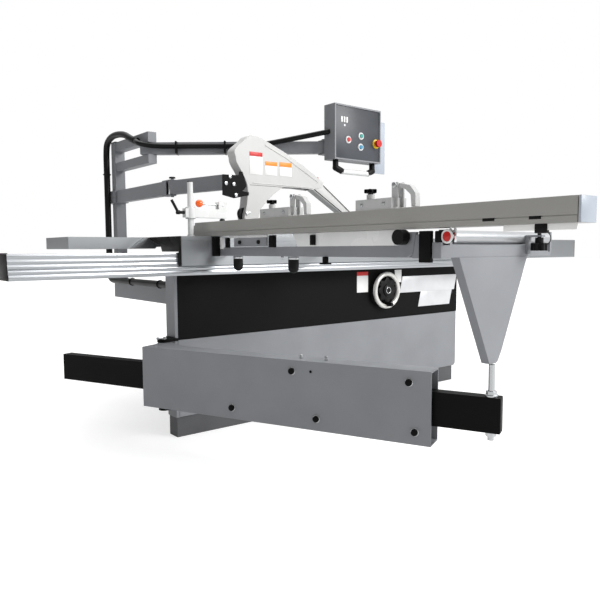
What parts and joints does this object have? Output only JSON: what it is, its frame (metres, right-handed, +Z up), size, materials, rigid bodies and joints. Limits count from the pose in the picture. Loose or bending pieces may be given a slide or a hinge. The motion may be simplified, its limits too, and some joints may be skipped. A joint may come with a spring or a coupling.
{
  "type": "sliding-table panel saw",
  "caption": "Woodworking panel saw: long aluminium sliding table beside a steel cabinet, outrigger on a swing arm, crosscut fence, overhead blade guard and a boom-mounted control panel.",
  "frame": {"origin": "middle of the base footprint, on the floor", "axes": "+X along the sliding table, from the operator's outrigger end towards the far end of the base; +Y from the sliding table to the back of the machine; +Z up"},
  "size_m": [3.8875, 3.116, 1.613],
  "materials": {
    "paint_grey": "satin powder coat, mid bluish grey",
    "paint_dark": "satin powder coat, dark grey",
    "paint_black": "textured near-black powder coat",
    "table_iron": "ground grey iron",
    "alu": "clear anodised extrusion",
    "steel": "turned and zinc plated",
    "blade_steel": "ground saw plate",
    "black_plastic": "moulded glass-filled nylon",
    "guard_white": "moulded light grey plastic",
    "paint_white": "gloss light paint",
    "hose": "black conduit",
    "belt": "moulded belt",
    "orange": "moulded orange ball",
    "red": "moulded red cap",
    "green": "moulded green cap",
    "blue": "moulded blue cap"
  },
  "bodies": {
    "base": {"plinth": "paint_dark", "base_frame": "paint_grey", "lower_cover": "paint_grey", "upper_band": "paint_black", "main_table": "table_iron", "extension_table": "alu", "side_table": "table_iron", "main_rail": "alu", "column_arm": "paint_grey", "overhead_column": "paint_grey", "column_hose": "hose", "tilt_trunnions": "table_iron", "arm_pivot_brackets": "paint_black"},
    "rear_door": {"rear_door": "paint_grey"},
    "handwheel": {"handwheel": "black_plastic"},
    "carriage": {"carriage": "alu", "outrigger_frame": "paint_grey", "outrigger_leg": "paint_grey", "clamp_post": "paint_white"},
    "roller_cage": {"roller_cage": "steel"},
    "outrigger_roller": {"outrigger_roller": "steel"},
    "table_clamp_1": {"table_clamp_1": "black_plastic"},
    "table_clamp_2": {"table_clamp_2": "black_plastic"},
    "star_knob": {"star_knob": "black_plastic"},
    "fence_clamp_knob": {"fence_clamp_knob": "black_plastic"},
    "carriage_lock": {"carriage_lock": "black_plastic"},
    "fence": {"fence_profile": "alu"},
    "fence_extension": {"fence_extension": "alu"},
    "stop_block_1": {"stop_block_1": "alu"},
    "stop_arm_1": {"stop_arm_1": "alu"},
    "stop_block_2": {"stop_block_2": "alu"},
    "stop_arm_2": {"stop_arm_2": "alu"},
    "clamp_arm": {"clamp_arm": "paint_white"},
    "clamp_cam_lever": {"clamp_cam_lever": "orange"},
    "clamp_plunger": {"clamp_plunger": "steel"},
    "clamp_lock_lever": {"clamp_lock_lever": "black_plastic"},
    "swing_arm": {"swing_arm": "paint_grey", "arm_guide_rollers": "steel"},
    "arm_tube": {"arm_tube": "paint_black", "tube_stud": "steel"},
    "guard_arm_1": {"guard_arm_1": "paint_grey"},
    "guard_arm_2": {"guard_arm_2": "paint_grey", "guard_bracket": "paint_black"},
    "guard_hood": {"guard_hood": "guard_white"},
    "guard_wheel": {"guard_wheel": "black_plastic"},
    "panel_boom": {"panel_boom": "paint_grey", "boom_hose": "hose"},
    "panel_box": {"panel_box": "paint_grey"},
    "start_button": {"start_button": "green"},
    "stop_button": {"stop_button": "red"},
    "select_button": {"select_button": "blue"},
    "emergency_stop": {"emergency_stop": "red"},
    "tilt_frame": {"tilt_frame": "table_iron"},
    "raise_slide": {"raise_slide": "table_iron", "drive_motor": "paint_dark", "drive_belt": "belt"},
    "arbor": {"saw_arbor": "steel", "saw_blade": "blade_steel"},
    "motor_pulley": {"motor_pulley": "steel"},
    "scoring_saw": {"scoring_saw": "blade_steel"}
  },
  "joints": [
    {"name": "door_hinge", "type": "hinge", "parent": "base", "child": "rear_door", "pos_m": [-0.279, 0.499, 0.4], "axis": [0, 0, 1], "range_deg": [0, 110]},
    {"name": "handwheel_turn", "type": "hinge", "parent": "base", "child": "handwheel", "pos_m": [0.321, -0.49, 0.597], "axis": [0, 1, 0], "range_deg": [-5582, 2702]},
    {"name": "carriage_slide", "type": "slide", "parent": "base", "child": "carriage", "axis": [1, 0, 0], "range_m": [-1.5, 0.8]},
    {"name": "cage_slide", "type": "slide", "parent": "base", "child": "roller_cage", "axis": [1, 0, 0], "range_m": [-0.75, 0.4]},
    {"name": "outrigger_roller_spin", "type": "hinge", "parent": "carriage", "child": "outrigger_roller", "pos_m": [-0.483, -1.778, 0.861], "axis": [1, 0, 0], "continuous": true},
    {"name": "table_clamp_1_turn", "type": "hinge", "parent": "carriage", "child": "table_clamp_1", "pos_m": [-0.794, -0.726, 0.78], "axis": [0, 0, 1], "range_deg": [-90, 90]},
    {"name": "table_clamp_2_turn", "type": "hinge", "parent": "carriage", "child": "table_clamp_2", "pos_m": [-0.794, -1.104, 0.78], "axis": [0, 0, 1], "range_deg": [-90, 90]},
    {"name": "star_knob_turn", "type": "hinge", "parent": "carriage", "child": "star_knob", "pos_m": [-0.369, -1.842, 0.85], "axis": [0, 0, 1], "range_deg": [-90, 90]},
    {"name": "fence_clamp_knob_turn", "type": "hinge", "parent": "carriage", "child": "fence_clamp_knob", "pos_m": [-0.845, -1.685, 0.862], "axis": [1, 0, 0], "range_deg": [-90, 90]},
    {"name": "carriage_lock_turn", "type": "hinge", "parent": "carriage", "child": "carriage_lock", "pos_m": [2.215, -0.586, 0.847], "axis": [1, 0, 0], "range_deg": [-90, 90]},
    {"name": "fence_pivot", "type": "hinge", "parent": "carriage", "child": "fence", "pos_m": [-0.79, -0.47, 0.915], "axis": [0, 0, 1], "range_deg": [-44, 45]},
    {"name": "fence_extension_slide", "type": "slide", "parent": "fence", "child": "fence_extension", "axis": [0, -1, 0], "range_m": [0, 0.6]},
    {"name": "stop_block_1_slide", "type": "slide", "parent": "fence", "child": "stop_block_1", "axis": [0, -1, 0], "range_m": [-0.3, 0.1]},
    {"name": "stop_arm_1_flip", "type": "hinge", "parent": "stop_block_1", "child": "stop_arm_1", "pos_m": [-0.79, -1.112, 1.021], "axis": [-1, 0, 0], "range_deg": [0, 100]},
    {"name": "stop_block_2_slide", "type": "slide", "parent": "fence", "child": "stop_block_2", "axis": [0, -1, 0], "range_m": [-0.1, 0.45]},
    {"name": "stop_arm_2_flip", "type": "hinge", "parent": "stop_block_2", "child": "stop_arm_2", "pos_m": [-0.79, -1.62, 1.021], "axis": [-1, 0, 0], "range_deg": [0, 100]},
    {"name": "clamp_arm_slide", "type": "slide", "parent": "carriage", "child": "clamp_arm", "axis": [0, 0, 1], "range_m": [-0.001, 0.08]},
    {"name": "cam_lever_turn", "type": "hinge", "parent": "clamp_arm", "child": "clamp_cam_lever", "pos_m": [-0.729, -0.49, 1.026], "axis": [0, 1, 0], "range_deg": [0, 100]},
    {"name": "plunger_slide", "type": "slide", "parent": "clamp_arm", "child": "clamp_plunger", "axis": [0, 0, 1], "range_m": [-0.0061, 0]},
    {"name": "clamp_lock_turn", "type": "hinge", "parent": "clamp_arm", "child": "clamp_lock_lever", "pos_m": [-0.935, -0.49, 0.99], "axis": [1, 0, 0], "range_deg": [-120, 120]},
    {"name": "swing_arm_pivot", "type": "hinge", "parent": "base", "child": "swing_arm", "pos_m": [-1.033, -0.498, 0.311], "axis": [0, 0, 1], "range_deg": [-30, 60]},
    {"name": "arm_tube_slide", "type": "slide", "parent": "swing_arm", "child": "arm_tube", "axis": [0.4087, -0.9127, 0], "range_m": [-0.15, 0.4]},
    {"name": "guard_height", "type": "slide", "parent": "base", "child": "guard_arm_1", "axis": [0, 0, 1], "range_m": [-0.06, 0.09]},
    {"name": "guard_arm_pivot", "type": "hinge", "parent": "guard_arm_1", "child": "guard_arm_2", "pos_m": [-0.685, 0.07, 1.153], "axis": [0, 0, 1], "range_deg": [-15, 20]},
    {"name": "guard_hood_tilt", "type": "hinge", "parent": "guard_arm_2", "child": "guard_hood", "pos_m": [-0.513, -0.306, 1.139], "axis": [0, -1, 0], "range_deg": [0, 18]},
    {"name": "guard_wheel_spin", "type": "hinge", "parent": "guard_hood", "child": "guard_wheel", "pos_m": [-0.489, -0.306, 1.006], "axis": [0, 1, 0], "continuous": true},
    {"name": "boom_pivot", "type": "hinge", "parent": "base", "child": "panel_boom", "pos_m": [-0.675, 0.35, 1.391], "axis": [0, 0, 1], "range_deg": [-8, 30]},
    {"name": "panel_pivot", "type": "hinge", "parent": "panel_boom", "child": "panel_box", "pos_m": [0.08675, -0.26177, 1.391], "axis": [0, 0, 1], "range_deg": [-30, 40]},
    {"name": "start_press", "type": "slide", "parent": "panel_box", "child": "start_button", "axis": [0, 1, 0], "range_m": [0, 0.004], "stiffness_N_per_m": 300},
    {"name": "stop_press", "type": "slide", "parent": "panel_box", "child": "stop_button", "axis": [0, 1, 0], "range_m": [0, 0.004], "stiffness_N_per_m": 300},
    {"name": "select_press", "type": "slide", "parent": "panel_box", "child": "select_button", "axis": [0, 1, 0], "range_m": [0, 0.004], "stiffness_N_per_m": 300},
    {"name": "emergency_press", "type": "slide", "parent": "panel_box", "child": "emergency_stop", "axis": [0, 1, 0], "range_m": [0, 0.006]},
    {"name": "saw_tilt", "type": "hinge", "parent": "base", "child": "tilt_frame", "pos_m": [-0.195, -0.31, 0.885], "axis": [-1, 0, 0], "range_deg": [0, 45]},
    {"name": "saw_raise", "type": "slide", "parent": "tilt_frame", "child": "raise_slide", "axis": [0, 0, 1], "range_m": [-0.062, 0.03]},
    {"name": "arbor_spin", "type": "hinge", "parent": "raise_slide", "child": "arbor", "pos_m": [-0.255, -0.31, 0.795], "axis": [0, 1, 0], "continuous": true},
    {"name": "motor_spin", "type": "hinge", "parent": "raise_slide", "child": "motor_pulley", "pos_m": [-0.335, -0.271, 0.67], "axis": [0, 1, 0], "continuous": true},
    {"name": "scorer_spin", "type": "hinge", "parent": "tilt_frame", "child": "scoring_saw", "pos_m": [-0.475, -0.31, 0.827], "axis": [0, 1, 0], "continuous": true}
  ],
  "couplings": [
    {"joint": "handwheel_turn", "follows": "saw_raise", "rad_per_m": 1570.8},
    {"joint": "cage_slide", "follows": "carriage_slide", "ratio": 0.5},
    {"joint": "plunger_slide", "follows": "cam_lever_turn", "m_per_rad": -0.0034377},
    {"joint": "motor_spin", "follows": "arbor_spin", "ratio": 0.875}
  ]
}
